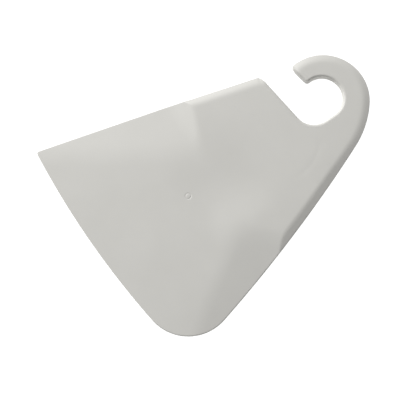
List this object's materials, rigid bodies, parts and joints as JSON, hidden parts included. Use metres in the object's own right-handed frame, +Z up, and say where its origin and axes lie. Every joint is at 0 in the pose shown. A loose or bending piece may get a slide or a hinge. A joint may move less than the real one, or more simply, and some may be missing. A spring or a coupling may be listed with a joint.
{
  "type": "bench scraper",
  "caption": "Flat moulded hand scraper with a thin curved blade, a thick palm grip and a hook around an open eye for hanging it on a rim or a rail.",
  "frame": {"origin": "under the middle of the length and the width, on the plane that the grip rests on", "axes": "+Y runs from the scraping edge to the hook along the greatest length, +Z is up and out of the upper face through the thickness, +X points to the bowed side"},
  "size_m": [0.1484, 0.192, 0.008],
  "materials": {
    "plastic": "satin, with a fine moulded texture"
  },
  "bodies": {
    "root": {"blade": "plastic", "grip": "plastic", "hook": "plastic"}
  },
  "joints": []
}
